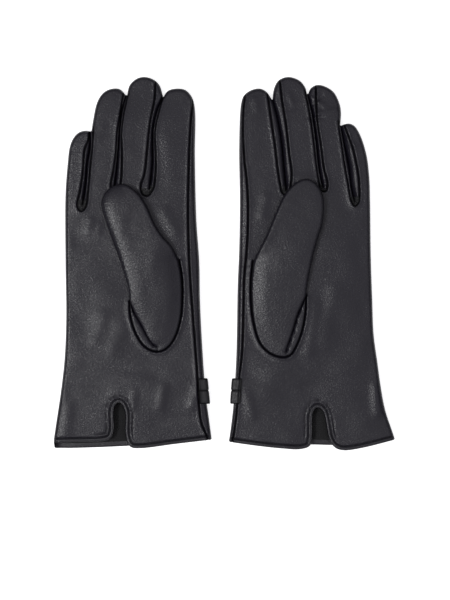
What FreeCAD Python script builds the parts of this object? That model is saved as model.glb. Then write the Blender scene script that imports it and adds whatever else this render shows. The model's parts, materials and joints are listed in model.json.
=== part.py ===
import FreeCAD, Part
import os

import Sketcher
from FreeCAD import Placement, Rotation, Vector

# A pair of lined leather dress gloves, lying palm up side by side on a flat surface.
#
# Frame: +X to the right, +Y towards the fingertips, +Z up out of the palm. The right-hand glove is on the -X
# side and its thumb side faces +X; the left-hand glove mirrors it. Z = 0 is the surface that they lie on.
#
# Each glove has its own drawing frame, which the sketches use: u is measured from the glove's middle line
# towards its thumb side, v from the hem towards the fingertips. The leather is drawn as it lies when the glove
# is empty: flat panels at the palm and the back, with fourchettes and folds as upright walls between them.

doc = FreeCAD.newDocument("dress_gloves")

FINGERS = ("little", "ring", "middle", "index")
SIDES = {"right": 1, "left": -1}  # the sign turns u into X

# Lengths in millimetres, angles in degrees.
COMMON = {
    "skin": 0.8,  # leather
    "knit": 0.6,  # lining
    "ease": 0.1,  # air between leather and lining
    "depth": 10.0,  # a glove's thickness as it lies, without the thumb
    "bend_gap": 0.3,  # from a bend line to the leather on each side of it
    "slit_half": 0.5,  # half the width at the bottom of the slit between two fingers
    "quirk_reach": 3.0,  # how far a quirk reaches up its slit, and down into the hand
    "binding_height": 3.0,
    "binding_roll": 1.6,
    "vent_roll": 1.6,
    "bow_width": 18.0,
    "bow_ply": 0.9,
    "bow_rise": 1.6,  # how far the back gives way to the bow that it lies on
    "bow_reach": 46.0,
    "bow_stand": 2.2,  # how far the bow's loop stands out past the glove's edge
    "bow_middle_y": 41.0,
    "keeper_width": 7.0,
    "keeper_ply": 0.6,
    "thumb_lift": 0.3,  # between the palm and the thumb that lies on it
    "thumb_depth": 8.5,
    "gusset_length": 48.0,
    "gusset_toe": 14.0,
    "gusset_toe_height": 1.4,
}

# The heights above the hem at which the hand's outline turns, and how far its two edges are from the middle
# line there. The hem itself is at 0.
LEVELS = {"cuff_y": 26.0, "wrist_y": 68.0, "palm_y": 113.0, "knuckle_y": 165.0}
EDGES = {
    "right": {
        "hem": (-53.5, 56.0), "cuff": (-50.0, 52.3), "wrist": (-44.6, 49.6),
        "palm": (-43.8, 48.0), "knuckle": (-44.9, 44.6),
    },
    "left": {
        "hem": (-60.5, 53.0), "cuff": (-54.9, 48.8), "wrist": (-48.0, 47.0),
        "palm": (-45.9, 46.0), "knuckle": (-44.6, 45.2),
    },
}

# The point where each pair of fingers parts.
CROTCHES = {
    "right": {"little_ring": (-32.6, 166.0), "ring_middle": (-10.9, 178.5), "middle_index": (13.2, 176.5)},
    "left": {"little_ring": (-34.0, 168.0), "ring_middle": (-12.2, 178.5), "middle_index": (13.5, 176.5)},
}

# Each finger from its bend line: the bend's middle, its lean, the widths there and at the tip, its length.
FINGER_SIZES = {
    "right": {
        "little": (-37.4, 184.0, 4.5, 13.0, 13.5, 35.0),
        "ring": (-19.8, 192.0, 5.6, 19.4, 19.6, 56.0),
        "middle": (2.7, 192.0, 6.6, 22.6, 22.6, 64.0),
        "index": (29.9, 192.0, 4.0, 28.0, 21.0, 56.4),
    },
    "left": {
        "little": (-37.9, 186.0, 9.0, 13.0, 12.8, 38.0),
        "ring": (-20.3, 192.0, 8.0, 19.0, 19.4, 59.0),
        "middle": (2.1, 192.0, 7.0, 23.2, 22.2, 64.0),
        "index": (29.9, 192.0, 2.6, 29.0, 22.0, 56.4),
    },
}

# The thumb from its bend line at the gusset, in the same order.
THUMB_SIZES = {
    "right": (15.5, 118.0, -19.0, 38.0, 28.6, 67.0),
    "left": (17.5, 118.0, -13.0, 36.0, 25.4, 69.0),
}
VENTS = {"right": (-7.6, 3.9, 33.0), "left": (-9.7, 4.3, 30.5)}  # middle, half width, height of its top
GLOVE_MIDDLES = {"right": -63.5, "left": 56.5}  # X of each glove's middle line
FINGER_KEYS = ("x", "y", "lean", "root", "tip", "length")
VENT_KEYS = ("vent_x", "vent_half", "vent_top")
MIDDLE_LINE_Y = -127.8  # puts the middle of the pair's length on Y = 0


def all_sizes():
    """Every driving dimension by its alias in the sheet."""
    sizes = {**COMMON, **LEVELS, "origin_y": MIDDLE_LINE_Y}
    for hand in SIDES:
        sizes[f"{hand}_origin_x"] = GLOVE_MIDDLES[hand]
        for level, (little_side, thumb_side) in EDGES[hand].items():
            sizes[f"{hand}_{level}_little_side"] = little_side
            sizes[f"{hand}_{level}_thumb_side"] = thumb_side
        for name, (across, along) in CROTCHES[hand].items():
            sizes[f"{hand}_{name}_x"] = across
            sizes[f"{hand}_{name}_y"] = along
        for key, value in zip(VENT_KEYS, VENTS[hand]):
            sizes[f"{hand}_{key}"] = value
        for digit, values in [*FINGER_SIZES[hand].items(), ("thumb", THUMB_SIZES[hand])]:
            for key, value in zip(FINGER_KEYS, values):
                sizes[f"{hand}_{digit}_{key}"] = value
    return sizes


sheet = doc.addObject("Spreadsheet::Sheet", "sizes")
for row, (alias, value) in enumerate(all_sizes().items(), start=1):
    sheet.set(f"A{row}", alias)
    sheet.set(f"B{row}", str(value))
    sheet.setAlias(f"B{row}", alias)
doc.recompute()


def size(alias):
    """The expression that reads one cell."""
    return f"sizes.{alias}"


def bind(thing, **expressions):
    """Ties properties to expressions; a dot in a property's name is written as two underscores."""
    for name, expression in expressions.items():
        thing.setExpression(name.replace("__", "."), str(expression))
    return thing


def place_on_glove(thing, hand):
    """Moves a piece drawn in the glove's frame, with u already turned into X, to its place in the pair."""
    return bind(
        thing,
        Placement__Base__x=size(f"{hand}_origin_x"),
        Placement__Base__y=size("origin_y"),
    )


def place_on_digit(thing, hand, digit):
    """Moves a piece drawn from a finger's bend line, with Y along the finger, to its place in the pair."""
    sign = SIDES[hand]
    thing.Placement = Placement(Vector(), Rotation(Vector(0, 0, -1), 1))
    return bind(
        thing,
        Placement__Base__x=f"{size(hand + '_origin_x')} + {sign} * {size(f'{hand}_{digit}_x')}",
        Placement__Base__y=f"{size('origin_y')} + {size(f'{hand}_{digit}_y')}",
        Placement__Rotation__Angle=f"{sign} * {size(f'{hand}_{digit}_lean')}",
    )


def box(name, x, y, z):
    """A Part::Box from (low, high) expressions on each axis."""
    made = doc.addObject("Part::Box", name)
    bind(
        made,
        Length=f"({x[1]}) - ({x[0]})", Width=f"({y[1]}) - ({y[0]})", Height=f"({z[1]}) - ({z[0]})",
        Placement__Base__x=x[0], Placement__Base__y=y[0], Placement__Base__z=z[0],
    )
    return made


def wedge(name, near, far, y):
    """A Part::Wedge from y[0] to y[1]; near and far are its ends' (x low, x high, z low, z high)."""
    made = doc.addObject("Part::Wedge", name)
    return bind(
        made,
        Xmin=near[0], Xmax=near[1], Zmin=near[2], Zmax=near[3],
        X2min=far[0], X2max=far[1], Z2min=far[2], Z2max=far[3],
        Ymin=y[0], Ymax=y[1],
    )


def disc(name, radius, y, z, angle=360):
    """A Part::Cylinder standing at (0, y), between two heights; an angle of 180 keeps its +Y half."""
    made = doc.addObject("Part::Cylinder", name)
    made.Angle = angle
    return bind(
        made, Radius=radius, Height=f"({z[1]}) - ({z[0]})", Placement__Base__y=y, Placement__Base__z=z[0]
    )


def fuse(name, *things):
    made = doc.addObject("Part::MultiFuse", name)
    made.Shapes = list(things)
    made.Refine = True
    return made


def cut(name, base, tool):
    made = doc.addObject("Part::Cut", name)
    made.Base, made.Tool = base, tool
    made.Refine = True
    return made


def common(name, base, tool):
    made = doc.addObject("Part::Common", name)
    made.Base, made.Tool = base, tool
    return made


def group(name, *things):
    """Several solids of one sub-part."""
    made = doc.addObject("Part::Compound", name)
    made.Links = list(things)
    return made


parts = []


def sub_part(thing, hand, name):
    """Names a finished sub-part, whose label is also its file's name."""
    thing.Label = f"{hand}_{name}"
    parts.append(thing)
    return thing


# ---- fingers and thumbs, drawn from the bend line with Y along the finger ----


def shoulder(hand, digit):
    """How far along the finger its round tip begins."""
    return f"{size(f'{hand}_{digit}_length')} - {size(f'{hand}_{digit}_tip')} / 2"


def half_width(hand, digit, end, inset="0"):
    return f"({size(f'{hand}_{digit}_{end}')} / 2 - ({inset}))"


def strip(name, hand, digit, z, inset="0", start=None):
    """A tapered strip with a round end: the palm or back of a finger, or a block that hollows one."""
    start = start or size("bend_gap")
    root, tip = half_width(hand, digit, "root", inset), half_width(hand, digit, "tip", inset)
    taper = wedge(
        name + "_taper", ("-" + root, root, z[0], z[1]), ("-" + tip, tip, z[0], z[1]),
        (start, shoulder(hand, digit)),
    )
    return fuse(name, taper, disc(name + "_end", tip, shoulder(hand, digit), z))


def wall_edges(side, edge):
    """A side wall's (low, high) in X, given its outer edge's distance from the middle. side is -1 or 1."""
    skin = size("skin")
    return (f"{edge} - {skin}", edge) if side > 0 else (f"-{edge}", f"-{edge} + {skin}")


def wall(name, hand, digit, side, y, z):
    """One upright side of a finger, from y[0] to y[1], which follows its taper."""
    near, far = [wall_edges(side, half_width(hand, digit, end)) for end in ("root", "tip")]
    return wedge(name, (*near, *z), (*far, *z), y)


def tip_wall(name, hand, digit, z):
    """The round end of a finger, between the palm and back strips."""
    outer, inner = half_width(hand, digit, "tip"), half_width(hand, digit, "tip", size("skin"))
    centre = shoulder(hand, digit)
    return cut(name, disc(name + "_out", outer, centre, z, 180), disc(name + "_in", inner, centre, z, 180))


def digit_leather(hand, digit, low, high, folds):
    """The trank's strips for one finger, or the thumb's own leather: palm and back strip, the round tip, and
    a wall on each side in folds, where the leather turns over instead of meeting a fourchette."""
    name, skin = f"{hand}_{digit}_", size("skin")
    between = (f"{low} + {skin}", f"{high} - {skin}")
    back = strip(name + "back_strip", hand, digit, (low, between[0]))
    palm = strip(name + "palm_strip", hand, digit, (between[1], high))
    pieces = [back, palm, tip_wall(name + "tip_wall", hand, digit, between)]
    span = (size("bend_gap"), shoulder(hand, digit))
    for side in folds:
        pieces.append(wall(f"{name}fold_{'ab'[side > 0]}", hand, digit, side, span, between))
    leather = group(name + "leather", *pieces)
    return sub_part(place_on_digit(leather, hand, digit), hand, f"{digit}_leather")


def digit_lining(hand, digit, low, high):
    """The knitted lining of one finger: a closed stall that is open at the bend line."""
    name = f"{hand}_{digit}_"
    clear = f"{size('skin')} + {size('ease')}"
    inside = f"{clear} + {size('knit')}"
    outer = strip(name + "stall_out", hand, digit, (f"{low} + {clear}", f"{high} - ({clear})"), clear)
    inner = strip(name + "stall_in", hand, digit, (f"{low} + {inside}", f"{high} - ({inside})"), inside, "0")
    stall = cut(name + "lining", outer, inner)
    return sub_part(place_on_digit(stall, hand, digit), hand, f"{digit}_lining")


def fourchettes(hand, digit, sides):
    """The strips sewn between a finger's palm and back, on the sides that face another finger."""
    span = (size("bend_gap"), shoulder(hand, digit))
    between = (size("skin"), f"{size('depth')} - {size('skin')}")
    name = f"{hand}_{digit}_fourchette_"
    strips = [wall(name + "ab"[s > 0], hand, digit, s, span, between) for s in sides]
    forks = group(f"{hand}_{digit}_fourchettes", *strips)
    return sub_part(place_on_digit(forks, hand, digit), hand, f"{digit}_fourchettes")


def finger(hand, digit):
    """One finger past its bend line. Its fold side is where the trank turns over, in X."""
    outward = {"little": -SIDES[hand], "index": SIDES[hand]}.get(digit)
    folds = [outward] if outward else []
    digit_leather(hand, digit, "0", size("depth"), folds)
    fourchettes(hand, digit, [s for s in (-1, 1) if s != outward])
    digit_lining(hand, digit, "0", size("depth"))


def thumb(hand):
    """The thumb past its bend line, lying on the palm."""
    low = f"({size('depth')} + {size('thumb_lift')})"
    high = f"({low} + {size('thumb_depth')})"
    digit_leather(hand, "thumb", low, high, (-1, 1))
    digit_lining(hand, "thumb", low, high)


# ---- the hand of a glove, drawn in the glove's frame ----


def root_corner(hand, digit, side, inset):
    """A corner of a finger's root, just short of its bend line, as (u, v) expressions."""
    across, along, lean = [size(f"{hand}_{digit}_{key}") for key in ("x", "y", "lean")]
    reach, gap = f"{side} * {half_width(hand, digit, 'root', inset)}", size("bend_gap")
    return (
        f"{across} + {reach} * cos({lean} * 1 deg) - {gap} * sin({lean} * 1 deg)",
        f"{along} - {reach} * sin({lean} * 1 deg) - {gap} * cos({lean} * 1 deg)",
    )


def crotch_corner(hand, crotch, side, inset):
    """One of the two corners at the bottom of a slit; side is -1 for the one nearer the little finger."""
    return (
        f"{size(f'{hand}_{crotch}_x')} + {side} * ({size('slit_half')} + {inset})",
        f"{size(f'{hand}_{crotch}_y')} - ({inset})",
    )


def outline_points(hand, inset):
    """The hand's outline, moved in by inset: up the little-finger side, round each finger's root and each
    crotch, and down the thumb side."""
    levels = list(EDGES[hand])
    heights = [size("binding_height")] + [size(f"{level}_y") for level in levels[1:]]
    left = [(f"{size(f'{hand}_{lv}_little_side')} + {inset}", at) for lv, at in zip(levels, heights)]
    right = [(f"{size(f'{hand}_{lv}_thumb_side')} - ({inset})", at) for lv, at in zip(levels, heights)]
    top = []
    for digit, crotch in zip(FINGERS, [*CROTCHES[hand], None]):
        top += [root_corner(hand, digit, side, inset) for side in (-1, 1)]
        if crotch:
            top += [crotch_corner(hand, crotch, side, inset) for side in (-1, 1)]
    return left + top + right[::-1]


def padded_outline(name, hand, points, z):
    """A PartDesign body: the closed outline through points, as a sketch on the XY plane, padded to z."""
    body = doc.addObject("PartDesign::Body", name)
    sketch = body.newObject("Sketcher::SketchObject", name + "_sketch")
    flat = [o for o in body.Origin.OriginFeatures if o.Role == "XY_Plane"][0]
    sketch.AttachmentSupport = [(flat, "")]
    sketch.MapMode = "FlatFace"
    count = len(points)
    # The lines start out on a circle, in order, so that the solver meets no crossed outline.
    start = [Rotation(Vector(0, 0, 1), 180 - 360 * i / count).multVec(Vector(60, 0, 0)) for i in range(count)]
    for i in range(count):
        sketch.addGeometry(Part.LineSegment(start[i], start[(i + 1) % count]), False)
    for i in range(count):
        sketch.addConstraint(Sketcher.Constraint("Coincident", i, 2, (i + 1) % count, 1))
    for i, (across, along) in enumerate(points):
        for kind, expression in (("DistanceX", f"{SIDES[hand]} * ({across})"), ("DistanceY", along)):
            value = start[i].x if kind == "DistanceX" else start[i].y
            number = sketch.addConstraint(Sketcher.Constraint(kind, -1, 1, i, 1, value))
            sketch.setExpression(f"Constraints[{number}]", expression)
    pad = body.newObject("PartDesign::Pad", name + "_pad")
    pad.Profile = sketch
    bind(pad, Length=f"({z[1]}) - ({z[0]})")
    body.Tip = pad
    bind(body, Placement__Base__z=z[0])
    return body


def hand_block(name, hand, z, inset="0"):
    """The whole hand from the hem binding to its bend lines, as one block between two heights."""
    return padded_outline(name, hand, outline_points(hand, inset), z)


def vent_slot(name, hand, grow, z):
    """The wrist vent's outline as a block: a slot that is open at the hem and round at the top."""
    middle = f"{SIDES[hand]} * {size(f'{hand}_vent_x')}"
    half = f"({size(f'{hand}_vent_half')} + {grow})"
    centre = f"{size(f'{hand}_vent_top')} - {size(f'{hand}_vent_half')}"
    legs = box(name + "_legs", (f"{middle} - {half}", f"{middle} + {half}"), ("0", centre), z)
    top = bind(disc(name + "_top", half, centre, z), Placement__Base__x=middle)
    return fuse(name, legs, top)


def thumb_frame(thing, hand):
    """Places a piece drawn in the thumb's frame into the glove's frame."""
    sign = SIDES[hand]
    thing.Placement = Placement(Vector(), Rotation(Vector(0, 0, -1), 1))
    return bind(
        thing,
        Placement__Base__x=f"{sign} * {size(f'{hand}_thumb_x')}",
        Placement__Base__y=size(f"{hand}_thumb_y"),
        Placement__Rotation__Angle=f"{sign} * {size(f'{hand}_thumb_lean')}",
    )


def thumb_hole(name, hand, z):
    """The tapered hole under the gusset, through the palm panel and its lining."""
    inset = f"2 * {size('skin')}"
    toe, heel = f"({size('gusset_toe')} / 2 - {inset})", half_width(hand, "thumb", "root", inset)
    hole = wedge(
        name, ("-" + toe, toe, z[0], z[1]), ("-" + heel, heel, z[0], z[1]),
        (f"{inset} - {size('gusset_length')}", f"-{inset}"),
    )
    return thumb_frame(hole, hand)


def palm_panel(hand):
    """The trank's palm, with the vent and the thumb hole cut out of it."""
    name, deep = f"{hand}_palm_", size("depth")
    z = (f"{deep} - {size('skin')}", deep)
    panel = hand_block(name + "blank", hand, z)
    holes = fuse(
        name + "holes",
        vent_slot(name + "vent", hand, size("vent_roll"), z),
        thumb_hole(name + "thumb_hole", hand, z),
    )
    made = cut(name + "panel", panel, holes)
    return sub_part(place_on_glove(made, hand), hand, "palm_panel")


def bow_span(hand, margin):
    """(low, high) in X of the bow's flat run across the back, from the thumb side inwards."""
    edge = f"{size(f'{hand}_wrist_thumb_side')} + 12"
    inner = f"{size(f'{hand}_wrist_thumb_side')} - {size('bow_reach')} - {margin}"
    return (inner, edge) if SIDES[hand] > 0 else (f"-({edge})", f"-({inner})")


def bow_rows(margin):
    return (
        f"{size('bow_middle_y')} - {size('bow_width')} / 2 - {margin}",
        f"{size('bow_middle_y')} + {size('bow_width')} / 2 + {margin}",
    )


def back_panel(hand):
    """The trank's back. It gives way where the bow lies between it and the surface."""
    name, skin, rise = f"{hand}_back_", size("skin"), size("bow_rise")
    flat = hand_block(name + "blank", hand, ("0", skin))
    outside = hand_block(name + "limit", hand, ("0", f"{rise} + {skin}"), inset=skin)
    raised = box(name + "raised", bow_span(hand, skin), bow_rows(skin), (skin, f"{rise} + {skin}"))
    raised_inside = common(name + "raised_inside", outside, raised)
    full = fuse(name + "full", flat, raised_inside)
    channel = box(name + "channel", bow_span(hand, "0"), bow_rows("0"), ("0", rise))
    made = cut(name + "panel", full, channel)
    return sub_part(place_on_glove(made, hand), hand, "back_panel")


def quirk_zone(name, hand, crotch, z):
    """A box round the bottom of one slit."""
    middle, foot = f"{SIDES[hand]} * {size(f'{hand}_{crotch}_x')}", size(f"{hand}_{crotch}_y")
    across, along = [(f"{c} - {size('quirk_reach')}", f"{c} + {size('quirk_reach')}") for c in (middle, foot)]
    return box(name, across, along, z)


def side_walls(hand):
    """The upright leather all round the hand, sorted into the folds at its two edges, the ends of the
    fourchettes between the fingers, and the quirks at the bottom of the slits."""
    name, skin, deep = f"{hand}_walls_", size("skin"), size("depth")
    z = (skin, f"{deep} - {skin}")
    outer = hand_block(name + "outer", hand, z)
    inner = hand_block(name + "inner", hand, z, inset=skin)
    walls = cut(name + "all", outer, inner)
    middle = box(name + "middle", ("-39", "39"), ("100", "300"), z)
    channel = box(name + "channel", bow_span(hand, "0"), bow_rows("0"), ("0", size("bow_rise")))
    folds = cut(name + "folds", walls, fuse(name + "not_folds", middle, channel))
    between = common(name + "between", walls, middle)
    zones = fuse(name + "zones", *[quirk_zone(name + crotch, hand, crotch, z) for crotch in CROTCHES[hand]])
    ends = cut(name + "ends", between, zones)
    quirks = common(name + "quirks", between, zones)
    sub_part(place_on_glove(folds, hand), hand, "side_folds")
    sub_part(place_on_glove(ends, hand), hand, "fourchette_ends")
    sub_part(place_on_glove(quirks, hand), hand, "quirks")


def hand_lining(hand):
    """The lining of the hand, open at the cuff, at each finger, at the vent and at the thumb hole."""
    name, deep, knit = f"{hand}_sleeve_", size("depth"), size("knit")
    clear = f"({size('skin')} + {size('ease')})"
    inside = f"({clear} + {knit})"
    floor = f"{size('bow_rise')} + {clear}"
    outer = hand_block(name + "outer", hand, (floor, f"{deep} - {clear}"), inset=clear)
    hollow = (f"{floor} + {knit}", f"{deep} - {inside}")
    inner = hand_block(name + "inner", hand, hollow, inset=inside)
    through = (f"{deep} - 3", deep)
    holes = fuse(
        name + "holes",
        vent_slot(name + "vent", hand, f"({size('vent_roll')} + {size('ease')})", through),
        thumb_hole(name + "thumb_hole", hand, through),
    )
    made = cut(name + "lining", cut(name + "shell", outer, inner), holes)
    return sub_part(place_on_glove(made, hand), hand, "hand_lining")


def hem_binding(hand):
    """The rolled binding round the cuff: a bar under the back, one up each edge, and two along the palm that
    stop at the vent."""
    name, roll, deep, tall = f"{hand}_hem_", size("binding_roll"), size("depth"), size("binding_height")
    sign = SIDES[hand]
    ends = (size(f"{hand}_hem_little_side"), size(f"{hand}_hem_thumb_side"))
    left, right = ends if sign > 0 else (f"-{ends[1]}", f"-({ends[0]})")
    middle = f"{sign} * {size(f'{hand}_vent_x')}"
    half = f"({size(f'{hand}_vent_half')} + {size('vent_roll')})"
    y, top = ("0", tall), (f"{deep} - {roll}", deep)
    between = (roll, f"{deep} - {roll}")
    bars = [
        box(name + "back", (left, right), y, ("0", roll)),
        box(name + "edge_a", (left, f"{left} + {roll}"), y, between),
        box(name + "edge_b", (f"{right} - {roll}", right), y, between),
        box(name + "palm_a", (left, f"{middle} - {half}"), y, top),
        box(name + "palm_b", (f"{middle} + {half}", right), y, top),
    ]
    return sub_part(place_on_glove(group(name + "binding", *bars), hand), hand, "hem_binding")


def vent_binding(hand):
    """The rolled binding round the vent."""
    name, z = f"{hand}_vent_", (f"{size('depth')} - {size('binding_roll')}", size("depth"))
    outer = vent_slot(name + "outer", hand, size("vent_roll"), z)
    inner = vent_slot(name + "inner", hand, "0", z)
    made = cut(name + "binding", outer, inner)
    return sub_part(place_on_glove(made, hand), hand, "vent_binding")


def thumb_gusset(hand):
    """The tongue of the thumb that is sewn into the palm: a roof that rises to the thumb's bend line, with a
    wall on each side."""
    name, skin, deep = f"{hand}_gusset_", size("skin"), size("depth")
    toe, heel = f"({size('gusset_toe')} / 2)", half_width(hand, "thumb", "root")
    low = f"({deep} + {size('gusset_toe_height')})"
    high = f"({deep} + {size('thumb_lift')} + {size('thumb_depth')})"
    y = (f"-{size('gusset_length')}", f"-{size('bend_gap')}")
    near_end, far_end = ("-" + toe, toe, f"{low} - {skin}", low), ("-" + heel, heel, f"{high} - {skin}", high)
    pieces = [wedge(name + "roof", near_end, far_end, y)]
    for side in (-1, 1):
        near, far = wall_edges(side, toe), wall_edges(side, heel)
        near_end, far_end = (*near, deep, f"{low} - {skin}"), (*far, deep, f"{high} - {skin}")
        pieces.append(wedge(f"{name}side_{'ab'[side > 0]}", near_end, far_end, y))
    toe_columns, toe_rows = (f"{skin} - {toe}", f"{toe} - {skin}"), (y[0], f"{y[0]} + {skin}")
    pieces.append(box(name + "toe", toe_columns, toe_rows, (deep, f"{low} - {skin}")))
    made = group(name + "gusset", *pieces)
    return sub_part(place_on_digit(made, hand, "thumb"), hand, "thumb_gusset")


def bow(hand):
    """The flat bow at the wrist: a pleated band sewn into the side seam, which turns round the glove's edge
    and lies on its back, and the keeper that pinches its middle."""
    name, sign, ply, deep = f"{hand}_bow_", SIDES[hand], size("bow_ply"), size("depth")
    edge = f"({size(f'{hand}_cuff_thumb_side')} + 0.1)"
    outer, inner = f"({edge} + {size('bow_stand')})", f"({edge} - {size('bow_reach')})"
    under = (f"{size('bow_rise')} - {ply}", size("bow_rise"))
    over = (f"{deep} + 0.1", f"{deep} + 0.1 + {ply}")

    def across(low, high):
        return (low, high) if sign > 0 else (f"-({high})", f"-({low})")

    flat = box(name + "flat", across(inner, outer), bow_rows("-0.1"), under)
    turn = box(name + "turn", across(f"{outer} - {ply}", outer), bow_rows("-0.1"), (under[1], over[0]))
    lip = box(name + "lip", across(f"{edge} - 4", outer), bow_rows("-0.1"), over)
    band = group(name + "band", flat, turn, lip)
    sub_part(place_on_glove(band, hand), hand, "bow_band")
    middle = f"({edge} - {size('bow_reach')} * 0.45)"
    half = f"{size('keeper_width')} / 2"
    keeper = box(
        name + "strip", across(f"{middle} - {half}", f"{middle} + {half}"), bow_rows("-0.1"),
        (f"{under[0]} - {size('keeper_ply')}", under[0]),
    )
    sub_part(place_on_glove(group(name + "keeper", keeper), hand), hand, "bow_keeper")


def glove(hand):
    palm_panel(hand)
    back_panel(hand)
    side_walls(hand)
    hand_lining(hand)
    hem_binding(hand)
    vent_binding(hand)
    thumb_gusset(hand)
    bow(hand)
    for digit in FINGERS:
        finger(hand, digit)
    thumb(hand)


for hand in SIDES:
    glove(hand)
doc.recompute()

for thing in doc.Objects:
    if "Invalid" in thing.State or "Error" in thing.State:
        raise SystemExit(f"{thing.Name} ({thing.Label}) failed: {thing.State}")
os.makedirs("parts", exist_ok=True)
for part in parts:
    shape = part.Shape
    if shape.isNull() or not shape.isValid() or not shape.Solids:
        raise SystemExit(f"{part.Label} has no valid solid")
    shape.exportStep(os.path.join("parts", part.Label + ".step"))
    print(f"{part.Label}: {len(shape.Solids)} solids, {shape.Volume:.0f} mm3")
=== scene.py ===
import json
import math

import bpy
import numpy as np
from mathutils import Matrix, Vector
from mathutils.geometry import delaunay_2d_cdt
from mathutils.kdtree import KDTree


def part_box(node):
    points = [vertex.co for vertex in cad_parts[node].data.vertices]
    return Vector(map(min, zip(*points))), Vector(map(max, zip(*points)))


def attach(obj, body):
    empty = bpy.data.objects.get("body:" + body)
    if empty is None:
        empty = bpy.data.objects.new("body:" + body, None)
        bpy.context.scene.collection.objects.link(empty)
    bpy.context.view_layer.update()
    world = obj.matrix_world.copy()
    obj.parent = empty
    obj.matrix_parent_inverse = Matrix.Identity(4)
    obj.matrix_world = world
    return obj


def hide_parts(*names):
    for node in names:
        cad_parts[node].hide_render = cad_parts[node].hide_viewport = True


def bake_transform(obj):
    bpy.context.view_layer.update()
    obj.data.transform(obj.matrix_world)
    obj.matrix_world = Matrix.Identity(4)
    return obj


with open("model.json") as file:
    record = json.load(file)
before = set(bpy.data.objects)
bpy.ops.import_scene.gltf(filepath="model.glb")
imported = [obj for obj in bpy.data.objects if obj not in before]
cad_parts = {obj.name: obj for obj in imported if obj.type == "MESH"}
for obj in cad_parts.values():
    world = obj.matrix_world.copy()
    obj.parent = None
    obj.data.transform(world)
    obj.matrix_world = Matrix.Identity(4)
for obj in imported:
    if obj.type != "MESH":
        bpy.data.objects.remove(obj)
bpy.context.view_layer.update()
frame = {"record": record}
mm = 0.001

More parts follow.
